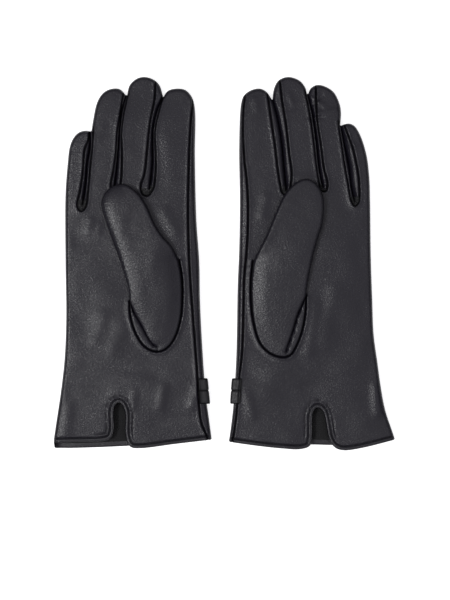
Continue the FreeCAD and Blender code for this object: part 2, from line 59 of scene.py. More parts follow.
# Each glove is drawn flat, in millimetres: u runs from its middle line towards the thumb side, v from the
# hem towards the fingertips. The right-hand glove's u is X, and the left-hand glove's is turned over.
gloves = {
    "right": {
        "sign": 1,
        "ventAt": -7.6,
        "littleSide": [
            (-52, 2), (-52.5, 6.5), (-51.5, 14.5), (-47.5, 41.5), (-45, 64.5), (-44, 92), (-44.5, 131),
            (-44.5, 176), (-43, 197), (-41.5, 209), (-39, 215), (-35, 219), (-30.5, 220), (-27.5, 219.5),
        ],
        "ringTip": [
            (-26.5, 220), (-25.5, 227), (-22.5, 240), (-18, 246.5), (-12, 249), (-7, 248.5), (-3, 244.5),
        ],
        "middleTip": [
            (-2, 244.5), (-0.5, 251), (4, 255.5), (9, 257), (15.5, 255.5), (20, 251.5), (22.5, 244),
        ],
        "indexSide": [
            (23, 243.5), (26, 247.5), (32, 249), (38, 248), (42.5, 243), (44.5, 234.5), (44.5, 202.5),
            (45.5, 159), (47.5, 130), (48, 103.5), (49.5, 72.5), (52, 38), (54, 23), (56, 8),
        ],
        "slits": [
            [(-27.5, 219.5), (-27.5, 208), (-29.5, 197), (-30.5, 182.5), (-32.5, 169)],
            [(-2.5, 244.5), (-5.5, 233.5), (-7, 221), (-8, 207), (-9, 194.5), (-10.5, 180)],
            [(22.5, 243.5), (18.5, 233.5), (16, 222.5), (15.5, 211), (15.5, 197), (13.5, 180)],
        ],
        "seams": [
            [
                (-27.5, 222), (-28.5, 213), (-31, 207), (-32, 193.5), (-34, 179), (-36, 168),
                (-33.5, 164.5), (-30.5, 167), (-28.5, 181), (-27, 197), (-26, 208.5), (-25, 222),
            ],
            [
                (-4, 247), (-6.5, 232), (-8.5, 219), (-9.5, 204.5), (-11, 193.5), (-13, 182),
                (-11.5, 176), (-8, 177), (-6, 186), (-5.5, 196), (-5.5, 207), (-6, 217.5), (-4.5, 231),
                (-1, 247),
            ],
            [
                (17.5, 258), (17, 242.5), (14, 226), (12, 208), (10, 190), (7.5, 182), (8.5, 176.5),
                (12, 175), (16, 180), (17.5, 190), (17.5, 204.5), (17, 219), (20, 234), (24.5, 249),
            ],
        ],
        "sideSeam": [
            (41.5, 250), (43, 240), (42, 227.5), (41, 211), (40, 175.5), (40, 156), (40.5, 136),
            (42, 109.5), (44, 83), (46, 56.5), (47.5, 30.5), (49, 19.5), (53.5, 8), (55, 1),
        ],
        "thumbFold": [(18.5, 71.5), (15.5, 73.5), (12, 78.5), (8, 86.5), (3.5, 94.5), (0, 103)],
        "thumbEdge": [
            (0, 103), (-0.5, 109.5), (-4, 122), (-8, 134), (-13.5, 148.5), (-18, 161.5), (-19.5, 168),
            (-18.5, 174), (-15, 179), (-10.5, 182), (-4.5, 183), (0.5, 181), (6.5, 176), (11.5, 168.5),
            (17.5, 155.5), (22.5, 147.5), (29, 140), (33.5, 131.5),
        ],
        "thumbSeam": [
            (33.5, 131.5), (35.5, 120), (36, 107.5), (35, 92.5), (32, 81), (28, 73.5), (22.5, 69),
            (16.5, 68.5), (10, 72), (5.5, 78), (2, 86.5), (0.2, 94.5), (0, 103),
        ],
        "hem": [
            (56, 8), (30.5, 5), (7.5, 2.2), (1, 2.8), (-1.5, 6), (-3, 13), (-3, 26), (-5, 31.5),
            (-7.5, 33.5), (-10, 32), (-11.5, 28), (-11.5, 14), (-13.5, 9), (-18, 7.2), (-35, 6.5),
            (-52.5, 6),
        ],
        "backHem": [(56, 8), (27.5, 5.8), (-0.5, 3.5), (-38.5, 2), (-52, 2)],
        "folds": [
            ((-28, 152), (-27, 158), 0.6, 3.2), ((-22, 150), (-21, 154), 0.45, 2.6),
            ((-12, 70), (-6, 84), 0.6, 6), ((43, 32), (45, 42), 0.7, 3.2),
            ((-45, 13), (-42, 30), 0.6, 4), ((21, 31), (23, 43), 0.55, 3.4),
            ((-24, 76), (-19, 92), 0.5, 5), ((2, 30), (3, 40), 0.4, 2.6),
            ((24, 164), (31, 150), 0.55, 4), ((-35, 120), (-28, 76), -0.4, 9),
            ((26, 214), (28, 186), 0.35, 6), ((-30, 60), (20, 52), -0.25, 4),
            ((-44, 44), (-16, 40), -0.2, 3), ((18, 20), (44, 24), -0.2, 3.5),
            ((-22, 214), (-20, 222), 0.4, 3.5), ((-2, 206), (-1, 228), 0.3, 5),
        ],
    },
    "left": {
        "sign": -1,
        "ventAt": -9.7,
        "littleSide": [
            (-62, 8), (-60, 14), (-55.5, 27.5), (-52.5, 43), (-50, 61), (-47.5, 79.5), (-46.5, 103.5),
            (-45.5, 134.5), (-45, 172.5), (-44.5, 187.5), (-42.5, 203.5), (-38, 217.5), (-34, 223.5),
            (-30, 225), (-25, 223.5),
        ],
        "ringTip": [
            (-24.5, 224), (-25, 232.5), (-24, 238.5), (-20, 246.5), (-14, 250.5), (-8.5, 251.5),
            (-4.5, 249.5), (-2.5, 245.5),
        ],
        "middleTip": [
            (-1.5, 245.5), (-0.5, 249.5), (3.5, 254.5), (11.5, 257), (18, 254.5), (21, 249), (22, 242),
        ],
        "indexSide": [
            (22.5, 241.5), (26.5, 247), (31, 249), (36.5, 248), (41.5, 244.5), (43.5, 239.5), (45, 210),
            (44.5, 172.5), (45, 138), (46, 114), (47, 64.5), (49, 31), (50.5, 17.5), (52, 6.5),
        ],
        "slits": [
            [(-25, 223.5), (-27.5, 210), (-30.7, 194.5), (-32.2, 181.5), (-34.5, 171)],
            [(-2, 245.5), (-5.5, 231.5), (-8, 214), (-10, 194.5), (-12.5, 181)],
            [(22, 241.5), (19, 230.5), (16, 214), (14, 193.5), (12.5, 179)],
        ],
        "seams": [
            [
                (-25.5, 227), (-30.5, 214.5), (-33.5, 205.5), (-36.5, 191), (-37.5, 179.5), (-37, 171),
                (-34.5, 168), (-32, 171.5), (-30, 182.5), (-27.5, 196), (-25.5, 210), (-23, 226),
            ],
            [
                (-7.5, 253), (-8.5, 226.5), (-11, 210), (-13, 194.5), (-15.5, 183.5), (-14.5, 178.5),
                (-11.5, 178.5), (-9.5, 186.5), (-8, 197), (-6, 214), (-4, 228), (-0.5, 247),
            ],
            [
                (17.5, 258), (15.5, 240), (13, 225), (10.5, 202.5), (9, 191), (10, 181), (12.5, 175.5),
                (15.5, 177.5), (17, 183.5), (18.5, 192.5), (20.5, 210), (23, 226.5), (26, 249),
            ],
        ],
        "sideSeam": [
            (40, 249), (42, 236), (42.5, 221), (41.5, 200), (40, 187.5), (39, 172.5), (39, 154),
            (40, 135.5), (41.5, 120), (42, 98), (43, 67.5), (45, 50.5), (47, 24.5), (48.5, 13),
            (49.5, 7), (50.5, 0),
        ],
        "thumbFold": [(13, 68.5), (11, 75), (8.5, 82), (5, 94), (-0.5, 106)],
        "thumbEdge": [
            (-0.5, 106), (-1, 110.5), (-4, 126.5), (-8, 143), (-12, 156), (-13, 165.5), (-12.5, 174),
            (-9.5, 181), (-4.5, 185.5), (0.5, 186.5), (7, 183.5), (14, 176), (21, 161.5), (26.5, 148),
            (35.5, 130.5),
        ],
        "thumbSeam": [
            (35.5, 130.5), (37, 112.5), (35.5, 90.5), (30.5, 74), (23.5, 67), (16, 64.5), (10.5, 65.5),
            (6, 72), (1.5, 84.5), (-0.5, 98), (-0.5, 106),
        ],
        "hem": [
            (52, 6.5), (34, 4), (15.5, 2), (3, 1.5), (-3, 3.5), (-4.6, 8.5), (-5, 24.5), (-6.5, 28.5),
            (-9, 30), (-12.5, 27.5), (-14.5, 21), (-16, 12), (-17.8, 6.5), (-21.5, 2.2), (-27, 0.7),
            (-38.5, 2.2), (-62, 8),
        ],
        "backHem": [(52, 7), (10, 5), (-18.5, 4), (-42, 4), (-62, 8)],
        "folds": [
            ((-3, 70), (-6, 100), 0.9, 5), ((-20, 110), (-12, 74), 0.7, 6),
            ((-50, 26), (-49, 44), 0.9, 3.5), ((36, 25), (40, 38), 0.5, 3.6),
            ((29, 162), (27, 174), 0.65, 3.6), ((33, 235), (34, 241), 0.5, 2.6),
            ((-4, 243), (-14, 236), 0.6, 1.3), ((-6, 238), (-12, 244), -0.5, 1.0),
            ((-8, 231), (-22, 234), 0.6, 1.6), ((-3, 228), (-12, 229), -0.5, 1.1),
            ((8, 238), (11, 245), 0.45, 1.3), ((5, 236), (12, 234), -0.3, 1.2),
            ((-30, 214), (-35, 208), 0.5, 1.8), ((-34, 218), (-30, 211), -0.4, 1.1),
            ((-40, 52), (0, 44), -0.25, 4), ((-30, 140), (-28, 88), 0.5, 8),
            ((10, 40), (40, 52), -0.2, 4), ((8, 188), (-8, 186), 0.4, 2.5),
        ],
    },
}
fingers = ["little", "ring", "middle", "index"]
seeds = {"right": {"palm": 11, "back": 31, "thumb": 57}, "left": {"palm": 23, "back": 43, "thumb": 61}}
rng = np.random.default_rng(7)

shell = {
    "edgeHeight": 4.3,  # where palm and back meet at the side
    "cuffHeight": 7.4,
    "handHeight": 9.4,
    "fingerHeight": 9.0,
    "tipHeight": 7.6,
    "cuffTo": (4, 62),  # where, along the glove, one height turns into the next
    "fingersFrom": (165, 195),
    "tipsFrom": (224, 256),
    "topRound": 2.4,  # a crisp fold at the edge, then a soft slope
    "softRound": 13.0,
    "softShare": 0.13,
    "slitRound": {"right": (1.9, 1.7, 1.9), "left": (3.6, 1.9, 2.4)},
    "tighterCrotch": 0.5,
    "underRound": 4.2,
    "underHeight": 0.25,
    "underWave": (0.12, 30),  # each wave is a height and a length
    "waves": [(0.3, 48), (0.07, 17)],
    "calmFingers": 0.45,
    "gather": (0.3, 2.6),  # the small pleats at the bottom of the slits
    "quirkLength": 3.5,
    "thickness": 1.1,
    "slitGap": 0.03,
    "slitOverlap": 0.04,  # the fingers press together, so that nothing shows between them
    "seamDepth": 1.3,
    "seamWidth": 0.42,
    "seamSwell": 0.3,
    "lineStep": 1.1,
    "seamStep": 0.9,
    "gridStep": 1.7,
    "cutStep": 0.14,
    "cutReach": 19,
    "onEdge": 0.004,
    "bendReach": 11.0,  # a finger's leather is cut from the hand's this length below its hinge
}
thumbShape = {
    "bottom": 10.0,
    "edge": 12.6,
    "lowEdge": 10.0,
    "edgeFrom": (78, 112),  # where, along the glove, the low height turns into the full one
    "top": 17.2,
    "low": 10.8,  # at the bottom of the thumb, where it is nearly flat
    "topFrom": (68, 148),
    "tipDrop": 0.8,
    "tipFrom": (165, 188),
    "waves": [(0.16, 30), (0.05, 11)],
    "sewn": 8.6,
    "rimReach": 11,
    "freeRound": 1.7,
    "foldRound": 1.4,
    "roundFrom": (96, 112),
    "softRound": 12.0,
    "sewnRound": 1.3,
    "underRound": 4,
    "flankSlope": {"right": 0.8, "left": 0.15},  # the share gained slowly from its fold side
    "sewnSlope": {"right": 0.42, "left": 0.3},  # and from its sewn side
    "sewnRise": 19.0,
    "least": 1.6,
    "thickness": 0.9,
    "bendReach": 15.0,
    "gusset": {"rise": 2.1, "dip": 3.8, "under": 4.0},
}


def unit(v):
    return v / np.maximum(np.linalg.norm(v, axis=-1, keepdims=True), 1e-9)


def smoothCurve(points, step):
    # a centripetal Catmull-Rom curve through the points
    p = np.array(points, float)
    p = np.vstack([2 * p[0] - p[1], p, 2 * p[-1] - p[-2]])
    made = []
    for p0, p1, p2, p3 in zip(p[:-3], p[1:-2], p[2:-1], p[3:]):
        t1 = np.linalg.norm(p1 - p0) ** 0.5
        t2 = t1 + np.linalg.norm(p2 - p1) ** 0.5
        t3 = t2 + np.linalg.norm(p3 - p2) ** 0.5
        count = max(2, round(np.linalg.norm(p2 - p1) / step))
        t = np.linspace(t1, t2, count, endpoint=False)[:, None]
        a = (t1 - t) / t1 * p0 + t / t1 * p1
        b = (t2 - t) / (t2 - t1) * p1 + (t - t1) / (t2 - t1) * p2
        c = (t3 - t) / (t3 - t2) * p2 + (t - t2) / (t3 - t2) * p3
        ab = (t2 - t) / t2 * a + t / t2 * b
        bc = (t3 - t) / (t3 - t1) * b + (t - t1) / (t3 - t1) * c
        made.append((t2 - t) / (t2 - t1) * ab + (t - t1) / (t2 - t1) * bc)
    return np.vstack([*made, p[-2]])


def normals2d(line):
    # to the right of the way the line runs
    along = unit(np.gradient(line, axis=0))
    return np.stack([along[:, 1], -along[:, 0]], axis=1)


def distanceTo(points, line):
    # measured to the stretches that meet at the line's four nearest points
    a, ab = line[:-1], np.diff(line, axis=0)
    length2 = np.maximum((ab * ab).sum(1), 1e-12)
    if len(line) < 12:
        picks = np.tile(np.arange(len(a)), (len(points), 1))
    else:
        tree = KDTree(len(line))
        for i, (x, y) in enumerate(line.tolist()):
            tree.insert((x, y, 0), i)
        tree.balance()
        near = np.array([[found[1] for found in tree.find_n((x, y, 0), 4)] for x, y in points.tolist()])
        picks = np.clip(np.hstack([near - 1, near]), 0, len(a) - 1)
    d = points[:, None] - a[picks]
    t = np.clip((d * ab[picks]).sum(-1) / length2[picks], 0, 1)
    return np.linalg.norm(d - t[..., None] * ab[picks], axis=-1).min(1)


def nearestOf(points, lines):
    return np.min([distanceTo(points, line) for line in lines], axis=0)


def isInside(points, loop):
    a, b = loop, np.roll(loop, -1, axis=0)
    odd = np.zeros(len(points), bool)
    batch = 3000
    for start in range(0, len(points), batch):
        x, y = points[start:start + batch, 0, None], points[start:start + batch, 1, None]
        spans = (a[:, 1] > y) != (b[:, 1] > y)
        with np.errstate(divide="ignore", invalid="ignore"):
            cross = a[:, 0] + (y - a[:, 1]) * (b[:, 0] - a[:, 0]) / (b[:, 1] - a[:, 1])
        odd[start:start + batch] = (spans & (x < cross)).sum(1) % 2 == 1
    return odd


def ease(x, low, high):
    t = np.clip((x - low) / (high - low), 0, 1)
    return t * t * (3 - 2 * t)


def between(low, high, amount):
    return low + (high - low) * amount


def roundUp(distance, radius):
    # a quarter circle: 0 at the edge, 1 from radius inwards
    t = np.clip(distance / radius, 0, 1)
    return np.sqrt(1 - (1 - t) ** 2)


def bell(distance, width):
    return np.exp(-((distance / width) ** 2))


def ripple(points, length, seed):
    # smooth waves about 1 high, from a few seeded directions
    made = np.random.default_rng(seed)
    total = np.zeros(len(points))
    for _ in range(9):
        angle, phase = made.uniform(0, math.tau, 2)
        wave = math.tau / (length * made.uniform(0.7, 1.6))
        total += np.sin(points @ np.array([math.cos(angle), math.sin(angle)]) * wave + phase)
    return total / 3


def waves(points, sizes, seed):
    # ripples on top of each other, each a height and a length
    return sum(size * ripple(points, length, seed + i) for i, (size, length) in enumerate(sizes))


def rollLine(lines):
    # the inner edge of the rolled binding, along the hem
    roll = lines["hem"] + normals2d(lines["hem"]) * bands["roll"]
    return roll[distanceTo(roll, lines["hem"]) > bands["roll"] * 0.97]


def widened(centre, gap):
    # the two sides of a slit, down one and up the other, with a round end
    side = normals2d(centre) * gap / 2
    end = centre[-1] + unit(centre[-1] - centre[-2]) * gap / 2
    return np.vstack([centre + side, end[None], (centre - side)[::-1]])


def thinned(points, spacing=0.32):
    # one point in each small cell, so that rows that meet don't pile up
    cells = np.round(points / spacing).astype(int)
    _, first = np.unique(cells, axis=0, return_index=True)
    return points[np.sort(first)]


def triangulate(outline, creases, rows, keepOff):
    # triangles that follow the outline and the creases, with rows of points beside some lines,
    # and a grid elsewhere
    step = shell["gridStep"]
    low, high = outline.min(0), outline.max(0)
    across, along = np.arange(low[0], high[0], step), np.arange(low[1], high[1], step * 0.87)
    grid = np.stack(np.meshgrid(across, along), axis=-1)
    grid[1::2, :, 0] += step / 2
    grid = grid.reshape(-1, 2) + rng.uniform(-0.12, 0.12, (grid.size // 2, 2))
    loose = [grid[nearestOf(grid, keepOff) > 1.2]]
    for line, offsets in rows:
        side = normals2d(line)
        for offset in offsets:
            row = (line + side * offset)[:: 1 if abs(offset) < 3 else 2]
            loose.append(row[distanceTo(row, line) > abs(offset) * 0.93])
    loose = np.vstack(loose)
    loose = loose[isInside(loose, outline)]
    loose = loose[nearestOf(loose, [np.vstack([outline, outline[:1]]), *creases]) > 0.1]
    points, edges = [*outline], [(i, (i + 1) % len(outline)) for i in range(len(outline))]
    for line in creases:
        edges += [(len(points) + i, len(points) + i + 1) for i in range(len(line) - 1)]
        points += [*line]
    points += [*thinned(loose)]
    made = delaunay_2d_cdt([Vector(p) for p in points], edges, [], 0, 1e-4)
    flat = np.array([v[:] for v in made[0]])
    faces = np.array([f for f in made[2] if len(f) == 3])
    faces = faces[isInside(flat[faces].mean(1), outline)]
    used, faces = np.unique(faces, return_inverse=True)
    return flat[used], faces.reshape(-1, 3)


def vertexNormals(solid, faces):
    a, b, c = (solid[faces[:, i]] for i in range(3))
    flat = np.cross(b - a, c - a)
    total = np.zeros_like(solid)
    for i in range(3):
        np.add.at(total, faces[:, i], flat)
    return unit(total)


def weld(solid, faces):
    # joins the points that share a place, and tells which old point each new one was
    _, first, index = np.unique(np.round(solid, 3), axis=0, return_index=True, return_inverse=True)
    return solid[first], index.reshape(-1)[faces], first


def ribbonFaces(rows):
    # two triangles for each step along two neighbouring rows of vertex numbers
    made = []
    for upper, lower in zip(rows[:-1], rows[1:]):
        for i in range(len(upper) - 1):
            made += [(upper[i], upper[i + 1], lower[i + 1]), (upper[i], lower[i + 1], lower[i])]
    return np.array(made)


def outwards(solid, faces):
    # turns a closed shape's faces outwards
    a, b, c = (solid[faces[:, i]] for i in range(3))
    return faces if (a * np.cross(b, c)).sum() > 0 else faces[:, ::-1]


def closedTube(rings):
    # rings of points joined into one skin, with a fan of faces over each end
    sides, count = len(rings[0]), len(rings) * len(rings[0])
    rows = [np.r_[np.arange(i, i + sides), i] for i in range(0, count, sides)]
    solid = np.vstack([*rings, rings[0].mean(0), rings[-1].mean(0)])
    ends = [(rows[0][i], count, rows[0][i + 1]) for i in range(sides)]
    ends += [(rows[-1][i + 1], count + 1, rows[-1][i]) for i in range(sides)]
    return solid, outwards(solid, np.vstack([ribbonFaces(rows), ends]))


class Place:
    # where a glove's drawing lies in the scene
    def __init__(self, hand):
        low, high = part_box(f"{hand}_vent_binding")
        self.sign = gloves[hand]["sign"]
        self.middle = (low.x + high.x) / 2 - self.sign * gloves[hand]["ventAt"] * mm
        self.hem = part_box(f"{hand}_hem_binding")[0].y

    def solid(self, points):
        x = self.middle + self.sign * points[:, 0] * mm
        return np.stack([x, self.hem + points[:, 1] * mm, points[:, 2] * mm], axis=1)

    def direction(self, vectors):
        return vectors * np.array([self.sign, 1, 1])

    def flat(self, point):
        return np.array([(point[0] - self.middle) / mm * self.sign, (point[1] - self.hem) / mm])


def addObject(name, data):
    made = bpy.data.objects.new(name, data)
    bpy.context.collection.objects.link(made)
    return made


def addPiece(name, place, points, faces, material, normals=None, paintedShade=None):
    # a mesh from drawing coordinates, with only the vertices that its faces use
    used, small = np.unique(faces, return_inverse=True)
    small = small.reshape(np.shape(faces))
    if place.sign < 0:
        small = small[:, ::-1]
    mesh = bpy.data.meshes.new(name)
    mesh.from_pydata(place.solid(points[used]).tolist(), [], small.tolist())
    mesh.materials.append(material)
    mesh.shade_smooth()
    # the seam attribute carries painted shade: the seam grooves, the hem's groove and the strap's edges
    if paintedShade is not None:
        seam = mesh.attributes.new("seam", "FLOAT", "POINT")
        seam.data.foreach_set("value", paintedShade[used].astype(np.float32))
    mesh.update()
    if normals is not None:
        mesh.normals_split_custom_set_from_vertices(place.direction(normals[used]).tolist())
    return addObject(name, mesh)


def drawGlove(hand):
    # every curve of one glove, sampled
    drawing, step, fine = gloves[hand], shell["lineStep"], shell["seamStep"]
    slits = [smoothCurve(s, step) for s in drawing["slits"]]
    tips = [smoothCurve(drawing[k], step) for k in ("littleSide", "ringTip", "middleTip", "indexSide")]
    side = [tips[0]]
    for slit, tip in zip(slits, tips[1:]):
        side += [widened(slit, shell["slitGap"]), tip]
    side = np.vstack(side)
    side = side[np.r_[True, np.linalg.norm(np.diff(side, axis=0), axis=1) > 0.012]]
    hem = smoothCurve(drawing["hem"], 0.8)
    corner = np.argmin(np.linalg.norm(side[:40] - hem[-1], axis=1))
    side[corner] = hem[-1]
    return {
        "side": side,
        "corner": corner,
        "outer": tips,
        "slits": slits,
        "seams": [smoothCurve(s, fine) for s in drawing["seams"]],
        "sideSeam": smoothCurve(drawing["sideSeam"], fine),
        "hem": hem,
        "backHem": smoothCurve(drawing["backHem"], step),
        "thumbFold": smoothCurve(drawing["thumbFold"], fine),
        "thumbEdge": smoothCurve(drawing["thumbEdge"], step),
        "thumbSeam": smoothCurve(drawing["thumbSeam"], fine),
    }


def hinges(hand, place):
    # each joint's place and the way its finger points, in the drawing
    made = {}
    for joint in frame["record"]["behaviour"]["joints"]:
        if joint["type"] == "hinge" and joint["child"].startswith(hand):
            along = Vector((0, 0, 1)).cross(Vector(joint["axis"]))
            made[joint["child"].removeprefix(hand + "_")] = {
                "body": joint["child"],
                "spot": Vector(joint["pos_m"]),
                "along": along,
                "flat": place.flat(joint["pos_m"]),
                "way": np.array([along.x * place.sign, along.y]),
            }
    return made


def slitColumn(points, slits):
    # which finger a point belongs to, by how many slits it lies beyond
    column = np.zeros(len(points), int)
    for slit in slits:
        order = np.argsort(slit[:, 1])
        column += points[:, 0] > np.interp(points[:, 1], slit[order, 1], slit[order, 0])
    return column


bands = {
    "roll": 2.3,  # width of the rolled binding
    # each swell or groove is a height or depth, a distance from the hem and a width
    "rollRise": (0.35, 1.1, 0.8),
    "rollGroove": (0.7, 2.3, 0.36),
    "ventSwell": (0.25, 3.5, 0.7),  # the vent has a second turn of leather beside its binding
    "ventGroove": (0.5, 4.7, 0.42),
    "ventWidth": 9,
    "ventFrom": 9,
    "palmLip": [(0.3, -0.3), (0.45, -0.75), (0.25, -1.275), (-0.8, -1.5), (-2.6, -1.5)],
    "backLip": [(0.3, 0.25), (0.45, 0.65), (0.25, 1.05), (-0.8, 1.3), (-3.0, 1.3)],
}
thumbHole = {"dip": 4.4, "swell": (0.7, 1.5, 0.9), "groove": (1.3, 0.0, 0.55)}


def band(distance, values):
    size, place, width = values
    return size * bell(distance - place, width)


def palmFullness(points, hand, lines):
    # the palm side before its seams are sewn: flat, round at its edges, parted between the fingers
    v = points[:, 1]
    outer = nearestOf(points, lines["outer"])
    slit, parting = np.full(len(v), 99.0), np.ones(len(v))
    for line, roundness in zip(lines["slits"], shell["slitRound"][hand]):
        d = distanceTo(points, line)
        radius = roundness - shell["tighterCrotch"] * (1 - ease(v - line[-1, 1], 1, 8))
        parting = np.minimum(parting, roundUp(d - shell["slitGap"] / 2, radius))
        slit = np.minimum(slit, d)
    height = between(shell["cuffHeight"], shell["handHeight"], ease(v, *shell["cuffTo"]))
    height += (shell["fingerHeight"] - shell["handHeight"]) * ease(v, *shell["fingersFrom"])
    height += (shell["tipHeight"] - shell["fingerHeight"]) * ease(v, *shell["tipsFrom"])
    seed = seeds[hand]["palm"]
    calm = 1 - shell["calmFingers"] * ease(v, *shell["fingersFrom"])
    height += ease(np.minimum(outer, slit), 1.5, 9) * calm * waves(points, shell["waves"], seed)
    rise = np.zeros(len(v))
    for start, end, size, width in gloves[hand]["folds"]:
        rise += size * bell(distanceTo(points, np.array([start, end], float)), width)
    height += rise * ease(outer, 0.5, 4)
    soft = shell["softShare"]
    crisp = (1 - soft) * roundUp(outer, shell["topRound"]) + soft * roundUp(outer, shell["softRound"])
    solid = between(shell["edgeHeight"], height, np.minimum(crisp, parting))
    size, length = shell["gather"]
    for seam, line in zip(lines["seams"], lines["slits"]):
        bottom = isInside(points, seam) * ease(-v, -line[-1, 1] - 7, -line[-1, 1] - 1)
        solid += size * bottom * ripple(points, length, seed + 5) * ease(distanceTo(points, seam), 0.2, 1.2)
    return solid, outer


def palmHeight(points, hand, lines):
    # how high the palm side lies, and the painted shade in its seam, thumb-seam, hem and vent grooves
    solid, outer = palmFullness(points, hand, lines)
    rise, dark = np.zeros(len(points)), np.zeros(len(points))
    for line in [*lines["seams"], lines["sideSeam"]]:
        d = distanceTo(points, line)
        rise += shell["seamSwell"] * bell(d - 1.3, 0.7) - shell["seamDepth"] * bell(d, shell["seamWidth"])
        # painted shade at the bottom of each seam groove
        dark = np.maximum(dark, bell(d, 0.45))
    solid += rise * ease(outer, 0, 1.2)
    thumb = isInside(points, lines["thumbSeam"])
    d = distanceTo(points, lines["thumbSeam"])
    solid -= np.where(thumb, thumbHole["dip"] * ease(d, -0.6, 2.4), 0)
    solid += np.where(thumb, 0, band(d, thumbHole["swell"]) - band(d, thumbHole["groove"]))
    # painted shade in the groove round the thumb's seam
    dark = np.maximum(dark, bell(d, 0.42))
    hem = distanceTo(points, lines["hem"])
    vent = ease(points[:, 1], 7, 12) * (1 - ease(np.abs(points[:, 0] - gloves[hand]["ventAt"]), 14, 18))
    solid += band(hem, bands["rollRise"]) - band(hem, bands["rollGroove"])
    solid += vent * (band(hem, bands["ventSwell"]) - band(hem, bands["ventGroove"]))
    # painted shade in the hem's groove and the vent's groove
    dark = np.maximum(dark, 0.5 * bell(hem - bands["roll"], 0.34))
    dark = np.maximum(dark, 0.6 * vent * bell(hem - bands["ventGroove"][1], 0.4))
    solid[distanceTo(points, lines["side"]) < shell["onEdge"]] = shell["edgeHeight"]
    return solid, dark


def bowRoom(points, hand):
    # the back gives way where the bow lies under it
    place = Place(hand)
    corners = [place.flat(corner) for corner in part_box(f"{hand}_bow_band")]
    low, high = np.min(corners, axis=0), np.max(corners, axis=0)
    u, v = points.T
    under = ease(u, low[0] - 3, low[0] + 1) * ease(v, low[1] - 3, low[1] + 1)
    return bow["room"] * (under * ease(-v, -high[1] - 3, -high[1] + 1))


def backHeight(points, hand, lines):
    outer = distanceTo(points, lines["side"])
    outer[outer < shell["onEdge"]] = 0
    size, length = shell["underWave"]
    wave = size * (1 + ripple(points, length, seeds[hand]["back"])) * ease(outer, 3, 9)
    low = shell["underHeight"] + wave + bowRoom(points, hand)
    return shell["edgeHeight"] - (shell["edgeHeight"] - low) * roundUp(outer, shell["underRound"])


def cutLines(lines, turns):
    # where each finger's leather parts from the hand's: straight across, below its hinge
    cuts = []
    for i, f in enumerate(fingers):
        way = turns[f]["way"]
        start = turns[f]["flat"] - way * shell["bendReach"]
        reach = np.arange(-shell["cutReach"], shell["cutReach"], shell["cutStep"])[:, None]
        cut = start + np.array([way[1], -way[0]]) * reach
        mine = np.flatnonzero(slitColumn(cut, lines["slits"]) == i)
        cuts.append(cut[max(mine[0] - 1, 0):mine[-1] + 2])
    return cuts


def besideVent(points, hand):
    near = np.abs(points[:, 0] - gloves[hand]["ventAt"]) < bands["ventWidth"]
    return near & (points[:, 1] > bands["ventFrom"])


def palmPanels(middle, hand, lines):
    # which panel a face of the palm side belongs to, by where its middle lies
    panel = np.full(len(middle), "palm", "<U10")
    panel[isInside(middle, np.vstack([lines["sideSeam"], [(90, 0), (90, 260)]]))] = "wrap"
    for seam, slit in zip(lines["seams"], lines["slits"]):
        inside = isInside(middle, seam)
        panel[inside] = "fourchette"
        panel[inside & (middle[:, 1] < slit[-1, 1] + shell["quirkLength"])] = "quirk"
    hem = distanceTo(middle, lines["hem"]) < bands["roll"]
    panel[hem] = "hem"
    panel[hem & besideVent(middle, hand)] = "vent"
    return panel


def addLip(flat, solid, faces, line, profile, flip):
    # turns an open edge over: profile is a list of (outwards, upwards) from the edge, less at the corners
    edge = np.array([np.argmin(((flat - p) ** 2).sum(1)) for p in line])
    size = np.clip(np.abs(solid[edge, 2] - shell["edgeHeight"]) / 2.5, 0, 1)[:, None]
    out = -normals2d(line) * size
    rows, points = [edge], [solid]
    count = len(solid)
    for outwardsBy, upwardsBy in profile:
        ring = solid[edge].copy()
        ring[:, :2] += out * outwardsBy
        ring[:, 2] += upwardsBy * size[:, 0]
        points.append(ring)
        rows.append(np.arange(count, count + len(edge)))
        count += len(edge)
    lip = ribbonFaces(rows)
    return np.vstack(points), np.vstack([faces, lip[:, ::-1] if flip else lip]), len(lip)


